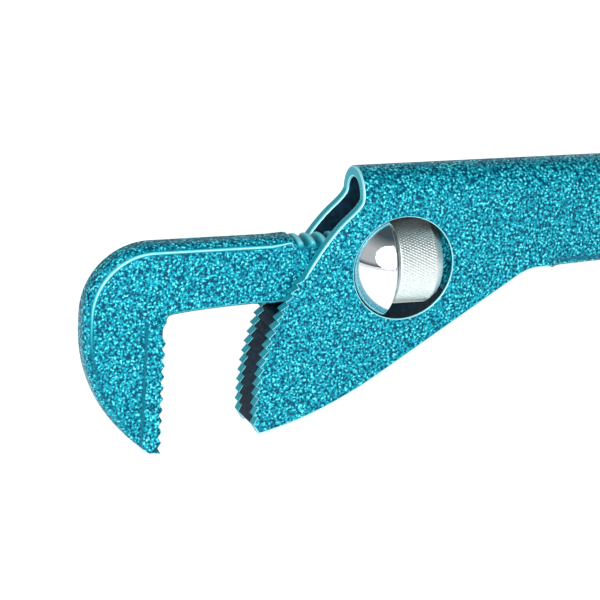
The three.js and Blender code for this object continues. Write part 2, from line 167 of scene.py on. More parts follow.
def row_of(bm, points):
    """A closed row of vertices joined by edges."""
    row = [bm.verts.new(point) for point in points]
    for a, b in zip(row, row[1:] + row[:1]):
        bm.edges.new((a, b))
    return row


def edges_of(bm, row):
    return [bm.edges.get((a, b)) for a, b in zip(row, row[1:] + row[:1])]


def enamelled():
    """An empty mesh with a mask for the enamel: 0 is hammered; from about 0.35 up the coat is smooth and its
    colour is painted light, dark near 0.35 as painted shade and pale near 1 as a painted highlight on arrises.
    """
    bm = bmesh.new()
    bm.verts.layers.float.new("smooth_coat_painted_light")
    return bm


def mark(bm, row, value):
    layer = bm.verts.layers.float["smooth_coat_painted_light"]
    for vert in row:
        vert[layer] = value


def extrude_row(bm, row, points, material=0):
    """Extrudes a closed row of vertices to new places, and gives the new row in the same order."""
    made = bmesh.ops.extrude_edge_only(bm, edges=edges_of(bm, row))["geom"]
    fresh = {v for v in made if isinstance(v, bmesh.types.BMVert)}
    for face in made:
        if isinstance(face, bmesh.types.BMFace):
            face.material_index = material
    following = []
    for vert, point in zip(row, points):
        beside = next(w for w in (e.other_vert(vert) for e in vert.link_edges) if w in fresh)
        beside.co = point
        following.append(beside)
    return following


def cut(bm, place, normal, keep=lambda centre: True):
    """Cuts the faces whose centres pass the test along a plane."""
    faces = [f for f in bm.faces if keep(f.calc_center_median())]
    edges = {e for f in faces for e in f.edges}
    verts = {v for f in faces for v in f.verts}
    bmesh.ops.bisect_plane(bm, geom=[*verts, *edges, *faces], dist=MERGE, plane_co=place, plane_no=normal)


def rounding(steps):
    """(inset share, depth share) of a quarter round, from the flat face to the edge."""
    for k in range(steps + 1):
        angle = math.pi / 2 * k / steps
        yield 1 - math.sin(angle), 1 - math.cos(angle)


def rounded_plate(outline, radii, half, steps=5, smooth_coat_painted_light=()):
    """A side view (x, z) given thickness along y; every corner has its own edge radius."""
    bm = enamelled()
    inward = miters(outline)
    quarter = list(rounding(steps))
    marks = [*smooth_coat_painted_light, *[0.0] * (steps + 1 - len(smooth_coat_painted_light))]
    layers = [(inset, depth, -1, value) for (inset, depth), value in zip(quarter, marks)]
    layers += [(inset, depth, 1, value) for inset, depth, _, value in reversed(layers)]
    row = None
    for inset, depth, side, value in layers:
        points = []
        for (x, z), step, radius in zip(outline, inward, radii):
            place = Vector((x, z)) + step * radius * inset
            points.append((place.x, side * (half - radius * depth), place.y))
        if row is None:
            row = row_of(bm, points)
            bm.faces.new(row)
        else:
            row = extrude_row(bm, row, points)
        mark(bm, row, value)
    bm.faces.new(row)
    return bm


def turned(profile, segments, axis="X"):
    """A closed (radius, height) profile spun about the axis."""
    bm = bmesh.new()
    turn_axis = (1, 0, 0) if axis == "X" else (0, 1, 0)
    row = row_of(bm, [(h, 0, r) if axis == "X" else (r, h, 0) for r, h in profile])
    bmesh.ops.spin(bm, geom=row + edges_of(bm, row), cent=(0, 0, 0), axis=turn_axis, dvec=(0, 0, 0),
                   angle=2 * math.pi, steps=segments, use_merge=True, use_duplicate=False)
    return bm


def rounded_corner(before, corner, after, radius, steps=4):
    """Points that round one corner of a profile."""
    here = Vector(corner)
    start = here + (Vector(before) - here).normalized() * radius
    end = here + (Vector(after) - here).normalized() * radius
    return [tuple(start)] + curve(tuple(start), corner, tuple(end), steps)


def piece(name, bm, materials, body, nodes, sharp=SHARP_EDGE, offset=(0, 0, 0)):
    """Turns mesh code in millimetres into a finished piece that rides on a body."""
    bmesh.ops.remove_doubles(bm, verts=bm.verts, dist=MERGE)
    bmesh.ops.recalc_face_normals(bm, faces=bm.faces)
    for face in bm.faces:
        face.smooth = True
    limit = math.radians(sharp)
    for edge in bm.edges:
        if len(edge.link_faces) == 2 and edge.calc_face_angle(0) > limit:
            edge.smooth = False
    place = Matrix.Translation(CENTRE) @ Matrix.Scale(MM, 4) @ Matrix.Translation(Vector(offset))
    bmesh.ops.transform(bm, matrix=place, verts=bm.verts)
    mesh = bpy.data.meshes.new(name)
    bm.to_mesh(mesh)
    bm.free()
    for material in materials:
        mesh.materials.append(material)
    thing = bpy.data.objects.new(name, mesh)
    bpy.context.scene.collection.objects.link(thing)
    weighted = thing.modifiers.new("face normals", "WEIGHTED_NORMAL")
    weighted.keep_sharp = True
    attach(thing, body)
    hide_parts(*nodes)
    return thing


# ---- materials --------------------------------------------------------------------------------------------
def rgb(code):
    """sRGB hex to linear, with alpha."""
    parts = [int(code[i:i + 2], 16) / 255 for i in (0, 2, 4)]
    linear = [c / 12.92 if c <= 0.04045 else ((c + 0.055) / 1.055) ** 2.4 for c in parts]
    return (*linear, 1.0)


def level(value):
    """A ramp's grey for a value that isn't a colour, such as a height or a roughness."""
    return (value, value, value, 1.0)


def repeats(size):
    """How often a pattern of this size in millimetres comes in a metre."""
    return 1 / (size * MM)


def in_use(sockets, key):
    """A socket by its number, or by its name where a node has several of one name and uses one of them."""
    if isinstance(key, int):
        return sockets[key]
    return next(socket for socket in sockets if socket.name == key and socket.enabled)


class Nodes:
    """The node tree of a material or a world, with one call that adds a node."""

    def __init__(self, owner):
        owner.use_nodes = True
        self.tree = owner.node_tree
        self.tree.nodes.clear()
        self.coords = self.add("ShaderNodeTexCoord")

    def add(self, kind, values=None, links=None, stops=(), **settings):
        """A node with its settings, the values and links of its inputs, and the stops of its ramp."""
        node = self.tree.nodes.new(kind)
        for key, value in settings.items():
            setattr(node, key, value)
        for key, value in (values or {}).items():
            in_use(node.inputs, key).default_value = value
        for key, (source, output) in (links or {}).items():
            self.tree.links.new(in_use(source.outputs, output), in_use(node.inputs, key))
        if stops:
            elements = node.color_ramp.elements
            while len(elements) < len(stops):
                elements.new(0.5)
            for element, (position, colour) in zip(elements, stops):
                element.position = position
                element.color = colour
        return node

    def finish(self, values, links=None):
        """Ends a material's tree with its shader."""
        shader = self.add("ShaderNodeBsdfPrincipled", values, links)
        self.add("ShaderNodeOutputMaterial", links={"Surface": (shader, "BSDF")})


ENAMEL_CELL = 1.0                   # mm, the light cells
ENAMEL_WORM = ENAMEL_CELL / 1.15    # mm, the darker net that winds between them
ENAMEL_DRIFT = ENAMEL_CELL / 0.38   # mm, the slow drift that keeps the cells from lying in rows
ENAMEL_SPREAD = 1.2                 # mm, how far the drift moves a cell
ENAMEL_RELIEF = 0.3                 # mm, deeper than the real coat so that the relief shows
SMOOTH_COAT = 0.35                  # mask value from which the coat is smooth, without its hammered pattern, and its colour is painted light


def hammered_enamel():
    """Hammer-finish stoving enamel: light cells of about 1 mm in a dark net.

    Where its mask is high the coat lies smooth, and its colour there is painted light: pale painted highlights
    on arrises and thread crests, dark painted shade in the crease, along the pad's step and at the thread
    roots. Its metal flakes give it a soft gleam.
    """
    enamel = bpy.data.materials.new("hammered_enamel")
    nodes = Nodes(enamel)
    place = (nodes.coords, "Object")
    drift = nodes.add("ShaderNodeTexNoise", {"Scale": repeats(ENAMEL_DRIFT), "Detail": 1.0}, {"Vector": place})
    centred = nodes.add(
        "ShaderNodeVectorMath", {1: (0.5, 0.5, 0.5)}, {0: (drift, "Color")}, operation="SUBTRACT")
    spread = nodes.add(
        "ShaderNodeVectorMath", {"Scale": ENAMEL_SPREAD * MM}, {0: (centred, "Vector")}, operation="SCALE")
    moved = nodes.add("ShaderNodeVectorMath", links={0: place, 1: (spread, "Vector")}, operation="ADD")
    cells = nodes.add(
        "ShaderNodeTexVoronoi", {"Scale": repeats(ENAMEL_CELL), "Smoothness": 0.4},
        {"Vector": (moved, "Vector")}, feature="SMOOTH_F1")
    worms = nodes.add(
        "ShaderNodeTexNoise",
        {"Scale": repeats(ENAMEL_WORM), "Detail": 1.0, "Roughness": 0.5, "Distortion": 0.4}, {"Vector": place})
    cell_share = nodes.add("ShaderNodeMath", {1: 0.55}, {0: (cells, "Distance")}, operation="MULTIPLY")
    net = nodes.add(
        "ShaderNodeMath", {1: 0.9}, {0: (worms, "Fac"), 2: (cell_share, "Value")}, operation="MULTIPLY_ADD")
    hammered = nodes.add("ShaderNodeValToRGB", links={"Fac": (net, "Value")}, stops=[
        (0.50, rgb("6ae6ec")), (0.58, rgb("16a8ba")), (0.72, rgb("00849a")), (0.86, rgb("00405a")),
    ])
    # The smooth coat's colours are painted light: the dark stops are painted shade, the pale stop a painted
    # highlight.
    smooth_coat_painted_light = nodes.add("ShaderNodeAttribute", attribute_name="smooth_coat_painted_light")
    painted_light_colour = nodes.add("ShaderNodeValToRGB", links={"Fac": (smooth_coat_painted_light, "Fac")}, stops=[
        (0.3, rgb("00566c")), (0.62, rgb("2aaab8")), (1.0, rgb("c8f4f6")),
    ])
    share = nodes.add("ShaderNodeMapRange", {"From Max": SMOOTH_COAT}, {"Value": (smooth_coat_painted_light, "Fac")})
    colour = nodes.add(
        "ShaderNodeMix", links={"Factor": (share, "Result"), "A": (hammered, "Color"), "B": (painted_light_colour, "Color")},
        data_type="RGBA")
    dips = nodes.add("ShaderNodeValToRGB", links={"Fac": (net, "Value")}, stops=[
        (0.45, level(1)), (0.85, level(0)),
    ])
    height = nodes.add(
        "ShaderNodeMix", {"B": level(0.5)}, {"Factor": (share, "Result"), "A": (dips, "Color")},
        data_type="RGBA")
    bump = nodes.add("ShaderNodeBump", {"Distance": ENAMEL_RELIEF * MM}, {"Height": (height, "Result")})
    gloss = {
        "Metallic": 0.25, "Roughness": 0.36, "Specular IOR Level": 0.08,
        "Coat Weight": 0.1, "Coat Roughness": 0.16,
    }
    nodes.finish(gloss, {"Base Color": (colour, "Result"), "Normal": (bump, "Normal")})
    return enamel


MOTTLE = 2.0                # mm


def inner_overspray_shade():
    """Thin overspray on bare steel between the plates, dull and slightly mottled; its nearly black colour is
    painted shade.
    """
    overspray = bpy.data.materials.new("inner_overspray_shade")
    nodes = Nodes(overspray)
    mottle = nodes.add(
        "ShaderNodeTexNoise", {"Scale": repeats(MOTTLE), "Detail": 3.0}, {"Vector": (nodes.coords, "Object")})
    # Nearly black: painted shade between the plates and in the window walls.
    colour = nodes.add("ShaderNodeValToRGB", links={"Fac": (mottle, "Fac")}, stops=[
        (0.35, rgb("021420")), (0.7, rgb("042c40")),
    ])
    bump = nodes.add("ShaderNodeBump", {"Distance": 0.05 * MM}, {"Height": (mottle, "Fac")})
    nodes.finish(
        {"Roughness": 0.5, "Specular IOR Level": 0.2},
        {"Base Color": (colour, "Color"), "Normal": (bump, "Normal")})
    return overspray


BUFFING_LINE = 1 / 0.9      # mm across a line, far coarser than real so that it shows
BUFFING_RUN = 1 / 0.06      # mm along a line


def bright_chrome():
    """Chrome plate on a buffed steel ball: a mirror, with faint lines round the axis that it turned on."""
    chrome = bpy.data.materials.new("bright_chrome")
    nodes = Nodes(chrome)
    stretch = nodes.add(
        "ShaderNodeMapping", {"Scale": (repeats(BUFFING_LINE), repeats(BUFFING_RUN), repeats(BUFFING_RUN))},
        {"Vector": (nodes.coords, "Object")})
    lines = nodes.add("ShaderNodeTexNoise", {"Scale": 1.0, "Detail": 3.0}, {"Vector": (stretch, "Vector")})
    rough = nodes.add("ShaderNodeValToRGB", links={"Fac": (lines, "Fac")}, stops=[
        (0.3, level(0.03)), (0.8, level(0.1)),
    ])
    bump = nodes.add("ShaderNodeBump", {"Distance": 0.012 * MM}, {"Height": (lines, "Fac")})
    nodes.finish(
        {"Base Color": rgb("e9edf1"), "Metallic": 1.0},
        {"Roughness": (rough, "Color"), "Normal": (bump, "Normal")})
    return chrome


SATIN_GRIT = 2 / 3      # mm, coarser than the real blasting grit so that it shows


def satin_chrome():
    """Chrome plate over a blasted, rolled knurl: pale and soft, with a fine grit in its gloss."""
    chrome = bpy.data.materials.new("satin_chrome")
    nodes = Nodes(chrome)
    grit = nodes.add(
        "ShaderNodeTexNoise", {"Scale": repeats(SATIN_GRIT), "Detail": 3.0},
        {"Vector": (nodes.coords, "Object")})
    colour = nodes.add("ShaderNodeValToRGB", links={"Fac": (grit, "Fac")}, stops=[
        (0.3, rgb("ccd8d6")), (0.7, rgb("eef5f3")),
    ])
    rough = nodes.add("ShaderNodeValToRGB", links={"Fac": (grit, "Fac")}, stops=[
        (0.3, level(0.3)), (0.7, level(0.44)),
    ])
    nodes.finish({"Metallic": 1.0}, {"Base Color": (colour, "Color"), "Roughness": (rough, "Color")})
    return chrome


GRAIN_WIDTH = 1 / 0.9       # mm, coarser than real so that it shows
GRAIN_LENGTH = 1 / 0.12     # mm


def rolled_steel(name, dark, light):
    """Rolled or drawn steel, bright, with the fine grain that the rolls left along the handle."""
    steel = bpy.data.materials.new(name)
    nodes = Nodes(steel)
    stretch = nodes.add(
        "ShaderNodeMapping", {"Scale": (repeats(GRAIN_LENGTH), repeats(GRAIN_WIDTH), repeats(GRAIN_WIDTH))},
        {"Vector": (nodes.coords, "Object")})
    grain = nodes.add("ShaderNodeTexNoise", {"Scale": 1.0, "Detail": 4.0}, {"Vector": (stretch, "Vector")})
    colour = nodes.add("ShaderNodeValToRGB", links={"Fac": (grain, "Fac")}, stops=[
        (0.3, rgb(dark)), (0.75, rgb(light)),
    ])
    rough = nodes.add("ShaderNodeValToRGB", links={"Fac": (grain, "Fac")}, stops=[
        (0.3, level(0.25)), (0.75, level(0.45)),
    ])
    bump = nodes.add("ShaderNodeBump", {"Distance": 0.01 * MM}, {"Height": (grain, "Fac")})
    nodes.finish(
        {"Metallic": 1.0},
        {"Base Color": (colour, "Color"), "Roughness": (rough, "Color"), "Normal": (bump, "Normal")})
    return steel


ENAMEL = hammered_enamel()
OVERSPRAY_SHADE = inner_overspray_shade()
CHROME = bright_chrome()
SATIN = satin_chrome()
ZINC = rolled_steel("zinc_plated_steel", "a9adb0", "d7dadb")
SPRING_STEEL = rolled_steel("rolled_spring_steel", "6d6f72", "b4b6b8")


# ---- handle -----------------------------------------------------------------------------------------------
NOSE_BEND = 23.2
SHOULDER = (-20.7, 19.4)
SHOULDER_BEND = (-28.5, 12.6)
SOLE = (-28.5, -52.2)
KINK_REACH = 3.5
JAW_EDGE_SLOPE = (KINK[1] - BELLY[1]) / (KINK[0] - BELLY[0])
RIM_ROUNDING = 0.75
TOOTH_ROUNDING = 0.16
FOLD_LENGTH = MID_RADIUS * math.pi / 2
FOLD_STEPS = 14
LIP_OUTER = 4.2
LIP_DROP = 0.9
LIP_MID = LIP_OUTER - SHEET / 2
LIP_TAB = 2.9
LIP_EXTRA = LIP_MID * math.pi / 2 + LIP_TAB - LIP_OUTER
LIP_FROM, LIP_TO = LIP_START - 2.5, LIP_START + 4.0
CREASE_UP = 3.4
CREASE_HALF = 0.7
CREASE_DEPTH = 0.45
CREASE_SHADE = 0.34                  # painted shade: the coat is drawn smooth and dark in the crease
LIP_STEPS = 8
CURL_STEPS = 7
CREASE_STEPS = 3
END_EASE = 4.0                      # length over which the lower edge runs out into the rounded end
END_SWEEP = math.radians(-65)       # where the rounded end starts
PIN_HOLE = 2.3
EYELET_HOLE = 6.3
SEAT_ROUNDING = 0.8
HOLE_ROUNDING = 0.2


def grip_edge(x):
    return KINK[1] + (x - KINK[0]) * math.tan(GRIP_RISE)


END_RADIUS = (FOLD_TOP - grip_edge(HANDLE_END)) / 2
END_CENTRE = (HANDLE_END - END_RADIUS, FOLD_TOP - END_RADIUS)


def jaw_point(angle, lift=0.0):
    return (
        JAW_CENTRE[0] - (JAW_RADIUS + lift) * math.cos(angle),
        JAW_CENTRE[1] + (JAW_RADIUS + lift) * math.sin(angle),
    )


def jaw_teeth():
    """Saw teeth of the lower jaw from the top down, a valley and a tip each."""
    step = JAW_PITCH / JAW_RADIUS
    points = []
    for i in range(JAW_TEETH):
        start = JAW_TOP_ANGLE - i * step
        points.append(jaw_point(start))
        points.append(jaw_point(start - JAW_TIP_SHARE * step, JAW_TOOTH))
    return points


def flat_along(z):
    """Distance round the sheet's middle surface from the fold's top to a height on the plate."""
    return FOLD_LENGTH + FOLD_Z - z


def height_in_fold(distance):
    return FOLD_Z + HALF * math.cos(distance / MID_RADIUS)


def front_edge():
    """From the fold's nose down the shoulder to the first tooth."""
    points = curve((NOSE_X, FOLD_Z), (NOSE_X, NOSE_BEND), SHOULDER, steps=8)
    return points + curve(SHOULDER, SHOULDER_BEND, jaw_point(JAW_TOP_ANGLE), steps=9)[:-1]


def lower_edge():
    """From the jaw's toe along its sole and the grip, with the metal that the turned-in lip takes."""
    before_kink = (KINK[0] - KINK_REACH, KINK[1] - KINK_REACH * JAW_EDGE_SLOPE)
    after_kink = (KINK[0] + KINK_REACH, grip_edge(KINK[0] + KINK_REACH))
    points = [TOE] + curve(TOE, SOLE, BELLY, steps=14) + [before_kink]
    points += curve(before_kink, KINK, after_kink, steps=5)
    for i in range(LIP_STEPS + 1):
        x = LIP_FROM + (LIP_TO - LIP_FROM) * i / LIP_STEPS
        amount = smooth(x, LIP_FROM, LIP_TO)
        points.append((x, grip_edge(x) - LIP_EXTRA * amount ** 2 - LIP_DROP * amount))
    ease_start = END_CENTRE[0] - END_EASE
    points.append((ease_start, grip_edge(ease_start) - LIP_EXTRA - LIP_DROP))
    points.append((END_CENTRE[0] + END_EASE / 2, grip_edge(END_CENTRE[0]) - LIP_EXTRA - LIP_DROP))
    return points


def tail_of_fold():
    """The rounded end where it runs over the fold, in the flat pattern."""
    points = []
    for i in range(FOLD_STEPS - 1, -1, -1):
        distance = FOLD_LENGTH * i / FOLD_STEPS
        up = min((height_in_fold(distance) - END_CENTRE[1]) / END_RADIUS, 1.0)
        points.append((END_CENTRE[0] + END_RADIUS * math.sqrt(1 - up * up), distance))
    return points


def handle_pattern():
    """One side of the sheet laid flat, as ((x, distance from the fold's top), edge radius), nose to tail."""
    nose = [(NOSE_X, FOLD_LENGTH * i / FOLD_STEPS) for i in range(FOLD_STEPS)]
    nose.append((NOSE_X, flat_along(FOLD_Z)))
    fold_angle = math.asin((FOLD_Z - END_CENTRE[1]) / END_RADIUS)
    end = arc(END_CENTRE, END_RADIUS, END_SWEEP, fold_angle, steps=20)
    pattern = [(p, RIM_ROUNDING) for p in nose]
    pattern += [((x, flat_along(z)), RIM_ROUNDING) for x, z in front_edge()]
    pattern += [((x, flat_along(z)), TOOTH_ROUNDING) for x, z in jaw_teeth()]
    pattern += [((x, flat_along(z)), RIM_ROUNDING) for x, z in lower_edge() + end]
    return pattern + [(p, RIM_ROUNDING) for p in tail_of_fold()]


def above_lip(x, z):
    """Distances along the grip's lower edge from the kink, and square up from it."""
    away = Vector((x - KINK[0], z - KINK[1]))
    return (
        away.x * math.cos(GRIP_RISE) + away.y * math.sin(GRIP_RISE),
        away.y * math.cos(GRIP_RISE) - away.x * math.sin(GRIP_RISE),
    )


def crease(x, z):
    """Share of the crease's depth at a place on the plates' outer face."""
    amount = smooth(x, LIP_FROM, LIP_TO)
    up = above_lip(x, z)[1] + LIP_DROP * amount
    return amount * (1 - smooth(abs(up - CREASE_UP), 0.0, CREASE_HALF))


def bend_lip(x, z, depth):
    """Turns the plates' lower edge inward: (x, z, distance from the middle plane) of a plate point."""
    along, up = above_lip(x, z)
    amount = smooth(x, LIP_FROM, LIP_TO)
    up += LIP_DROP * amount
    if depth > 0:
        depth -= CREASE_DEPTH * crease(x, z)
    below = LIP_OUTER - up
    if below <= 0 or amount <= 0:
        return x, z, MID_RADIUS + depth
    bend = amount / LIP_MID
    curled = min(below, LIP_MID * math.pi / 2)
    turn = bend * curled
    down = math.sin(turn) / bend + (below - curled) * math.cos(turn) + depth * math.sin(turn)
    inward = (1 - math.cos(turn)) / bend + (below - curled) * math.sin(turn)
    height = LIP_OUTER - down - LIP_DROP * amount
    return (
        KINK[0] + along * math.cos(GRIP_RISE) - height * math.sin(GRIP_RISE),
        KINK[1] + along * math.sin(GRIP_RISE) + height * math.cos(GRIP_RISE),
        MID_RADIUS - inward + depth * math.cos(turn),
    )


def fold_sheet(co):
    """A point of the flat pattern (x, distance round the sheet, depth) on the folded handle."""
    x, distance, depth = co
    side = 1 if distance > 0 else -1
    distance = abs(distance)
    if distance < FOLD_LENGTH:
        angle = distance / MID_RADIUS
        radius = MID_RADIUS + depth
        return Vector((x, side * radius * math.sin(angle), FOLD_Z + radius * math.cos(angle)))
    x, z, y = bend_lip(x, FOLD_Z - (distance - FOLD_LENGTH), depth)
    return Vector((x, side * y, z))


RIM_PAINTED_LIGHT = (0.0, 1.0, 0.6, 0.9, 0.5)     # mask on the rim's rows, from the face to the wall; the 1.0 and 0.9 rows are painted highlight lines
FACE_ROWS = len(RIM_PAINTED_LIGHT)
SHEET_LAYERS = [
    (inset, SHEET / 2, -depth, value) for (inset, depth), value in zip(rounding(FACE_ROWS - 1), RIM_PAINTED_LIGHT)
]
SHEET_LAYERS += [(inset, -face, -depth, value) for inset, face, depth, value in reversed(SHEET_LAYERS)]


def sheet_rim(bm, pattern):
    """The sheet's outer rim with rounded edges: its rows on the outer and the inner face."""
    outline = [p for p, _ in pattern]
    inward = miters(outline)
    rows = []
    for inset, face, depth, value in SHEET_LAYERS:
        points = [
            (p[0] + step.x * radius * inset, p[1] + step.y * radius * inset, face + depth * radius)
            for (p, radius), step in zip(pattern, inward)
        ]
        rows.append(extrude_row(bm, rows[-1], points) if rows else row_of(bm, points))
        mark(bm, rows[-1], value)
    return rows[0], rows[-1]


def sheet_hole(bm, centre, side, radius_at, edge, segments):
    """A round hole through one plate, its radius given by the distance from the middle plane."""
    rows = []
    for inset, face, depth, value in SHEET_LAYERS:
        height = face + depth * edge
        radius = radius_at(MID_RADIUS + height) + edge * inset
        points = []
        for i in range(segments):
            angle = 2 * math.pi * i / segments
            flat = flat_along(centre[1] + radius * math.sin(angle))
            points.append((centre[0] + radius * math.cos(angle), flat * side, height))
        # The hole's wall and inner rows take the near-black overspray, painted shade.
        shaded_wall = int(len(rows) >= FACE_ROWS)
        rows.append(extrude_row(bm, rows[-1], points, shaded_wall) if rows else row_of(bm, points))
        mark(bm, rows[-1], value)
    return rows[0], rows[-1]


def seat_radius(y):
    """Radius of the windows' ball seat at a distance from the middle plane."""
    return math.sqrt(SEAT ** 2 - y * y)


def middle_of(low, high):
    return (low.x + high.x) / 2, (low.z + high.z) / 2


def cut_for_bends(bm):
    """Lines across the flat pattern that let it fold, curl and crease."""
    for i in range(-FOLD_STEPS, FOLD_STEPS + 1):
        cut(bm, (0, FOLD_LENGTH * i / FOLD_STEPS, 0), (0, 1, 0))
    cut(bm, (KINK[0], 0, 0), (1, 0, 0))
    heights = [LIP_OUTER - LIP_MID * math.pi / 2 * i / CURL_STEPS for i in range(CURL_STEPS + 1)]
    heights += [CREASE_UP + CREASE_HALF * i / CREASE_STEPS for i in range(-CREASE_STEPS, CREASE_STEPS + 1)]
    for side in (-1, 1):
        across = (math.sin(GRIP_RISE), math.cos(GRIP_RISE) * side, 0)
        for up in heights:
            z = KINK[1] + (up - LIP_DROP) / math.cos(GRIP_RISE)
            cut(bm, (KINK[0], flat_along(z) * side, 0), across,
                lambda centre: centre.x > KINK[0] and centre.y * side > FOLD_LENGTH)
    lip_top = flat_along(KINK[1] + 2 * LIP_OUTER)
    for i in range(LIP_STEPS + 1):
        x = LIP_FROM + (LIP_TO - LIP_FROM) * i / LIP_STEPS
        cut(bm, (x, 0, 0), (1, 0, 0), lambda centre: abs(centre.y) > lip_top)


def folded_handle():
    """One sheet: a flat pattern with rounded rims and holes, folded over, its lower edges bent in."""
    one_side = handle_pattern()
    pattern = one_side + [((x, -s), radius) for (x, s), radius in reversed(one_side[1:-1])]
    if not anticlockwise([p for p, _ in pattern]):
        pattern.reverse()
    bm = enamelled()
    rims = [sheet_rim(bm, pattern)]
    pin_hole, eyelet_hole = middle_of(PIN_LOW, PIN_HIGH), middle_of(EYELET_LOW, EYELET_HIGH)
    for side in (-1, 1):
        rims.append(sheet_hole(bm, (0, 0), side, seat_radius, SEAT_ROUNDING, segments=128))
        rims.append(sheet_hole(bm, pin_hole, side, lambda y: PIN_HOLE, HOLE_ROUNDING, segments=32))
        rims.append(sheet_hole(bm, eyelet_hole, side, lambda y: EYELET_HOLE, HOLE_ROUNDING, segments=48))
    # Outer faces take the enamel, inner faces the near-black overspray that paints the shade between the
    # plates.
    for material, rows in enumerate(zip(*rims)):
        edges = [edge for row in rows for edge in edges_of(bm, row)]
        filled = bmesh.ops.triangle_fill(bm, use_beauty=True, use_dissolve=False, edges=edges)["geom"]
        for face in (g for g in filled if isinstance(g, bmesh.types.BMFace)):
            face.material_index = material
    cut_for_bends(bm)
    smooth_light_layer = bm.verts.layers.float["smooth_coat_painted_light"]
    for vert in bm.verts:
        x, distance, depth = vert.co
        # Painted shade: the crease on the outer face gets the dark smooth coat.
        if depth > 0:
            vert[smooth_light_layer] = max(vert[smooth_light_layer], CREASE_SHADE * crease(x, flat_along(abs(distance))))
        vert.co = fold_sheet(vert.co)
    return piece("folded_handle", bm, [ENAMEL, OVERSPRAY_SHADE], "handle", ["handle_shell"])


INSERT_INSET = 1.6                  # how far the insert lies inside the jaw's sole
INSERT_SEAT_GAP = 0.7               # between the insert and the ball seat
INSERT_SOLE_ROUNDING = 0.5


def jaw_insert():
    """Toothed block between the plates, its teeth in line with theirs."""
    top = INSERT_HIGH.z
    lift = INSERT_INSET * math.hypot(1, JAW_EDGE_SLOPE)
    rear = (INSERT_HIGH.x, BELLY[1] + lift + (INSERT_HIGH.x - BELLY[0]) * JAW_EDGE_SLOPE)
    toe = (TOE[0] - 0.6, TOE[1] + INSERT_INSET)
    lower = [toe] + curve(toe, (SOLE[0], SOLE[1] + lift), (BELLY[0], BELLY[1] + lift), steps=10) + [rear]
    teeth = [p for p in jaw_teeth() if toe[1] + 0.5 < p[1] < top - 0.3]
    seat = SEAT + INSERT_SEAT_GAP
    low_angle = -math.acos(INSERT_HIGH.x / seat)
    top_angle = -math.pi - math.asin(top / seat)
    front = jaw_point(math.asin((top - JAW_CENTRE[1]) / JAW_RADIUS))
    seat_arc = arc((0, 0), seat, low_angle, top_angle, steps=8)
    points = [front] + teeth + lower + seat_arc
    radii = [TOOTH_ROUNDING] * (1 + len(teeth))
    radii += [INSERT_SOLE_ROUNDING] * len(lower) + [HOLE_ROUNDING] * len(seat_arc)
    if not anticlockwise(points):
        points.reverse()
        radii.reverse()
    bm = rounded_plate(points, radii, INSERT_HIGH.y, steps=2)
    # The insert takes the near-black overspray, painted shade between the plates.
    return piece("toothed_insert", bm, [OVERSPRAY_SHADE], "handle", ["lower_jaw_insert"])


# ---- hook jaw ---------------------------------------------------------------------------------------------
HOOK_CORNER = 24.0
HOOK_BACK = 53.5
HOOK_BACK_Z = -17.0
HOOK_TOE_X = -88.7
HOOK_NOTCH = 2.5
THROAT = (-80.6, -13.2)
ARM_START = -62.0
OUTER_ROUNDING = 3.4
UNDER_ROUNDING = 1.1
PLAIN_ROUNDING = 0.9
SHOULDER_ROUNDING = 2.0
NOTCH_ROUNDING = 0.4
HOOK_TOOTH_ROUNDING = 0.14
HOOK_ROOT_X = HOOK_TIP_X - HOOK_TOOTH
ARM_SHOULDER_Z = 8.0                # where the arm's rounded shoulder rises from the thread
ARM_EASE = 8.0                      # half the length over which the arm's underside levels out
HOOK_HIGHLIGHT_ROWS = (0.0, 0.95, 0.25, 0.0)     # mask on the first rows round the hook's edge; the 0.95 row is a painted highlight line
HIGHLIGHT_AT_TOE, HIGHLIGHT_RISE = 0.3, 0.65    # the painted highlight along the edge fades from the arm down to the toe
HIGHLIGHT_FADE = (-35.0, 0.0)
THREAD_SMOOTH_SHADE, CREST_HIGHLIGHT = 0.35, 0.4     # the coat lies smooth on the thread, darker at its roots as painted shade and paler on its crests as a painted highlight
PAD_STEP = (PAD_LEFT - 0.4, PAD_LEFT + 1.4)
PAD_RAMP = (PAD_TOP - 0.4, PAD_TOP + 2.6)
PAD_CUTS = 9
SHANK_COLUMNS = 12
SHANK_BREAK = 0.35
SHANK_STEP = 0.3
FLAT_HALF = 6.6                     # half the height of the shank's plain flat, below the thread's ends


def hook_back():
    """The hook's bowed back and its toe, with edges that thin toward the toe."""
    steps, thin_from = 26, 18
    toe_angle = math.acos((HOOK_LOW.x + HOOK_BACK - HOOK_TOE_X) / HOOK_BACK)
    back = arc((HOOK_LOW.x + HOOK_BACK, HOOK_BACK_Z), HOOK_BACK, math.pi, math.pi + toe_angle, steps)
    thinning = OUTER_ROUNDING - PLAIN_ROUNDING
    points = [(p, OUTER_ROUNDING - thinning * smooth(i, thin_from, steps)) for i, p in enumerate(back)]
    toe = (HOOK_TOE_X + 1.2, HOOK_LOW.z)
    points += [(p, PLAIN_ROUNDING) for p in curve(back[-1], (toe[0] - 0.8, toe[1]), toe, steps=3)]
    return points + [((HOOK_TIP_X - 2.2, HOOK_LOW.z), PLAIN_ROUNDING)]


def hook_teeth():
    """The hook's teeth from the toe up, a tip and a root each."""
    points = []
    for i in range(HOOK_TEETH):
        tip_z = HOOK_LOW.z + i * HOOK_PITCH
        points.append(((HOOK_TIP_X, tip_z), HOOK_TOOTH_ROUNDING))
        points.append(((HOOK_ROOT_X, tip_z + HOOK_PITCH / 2), HOOK_TOOTH_ROUNDING))
    return points


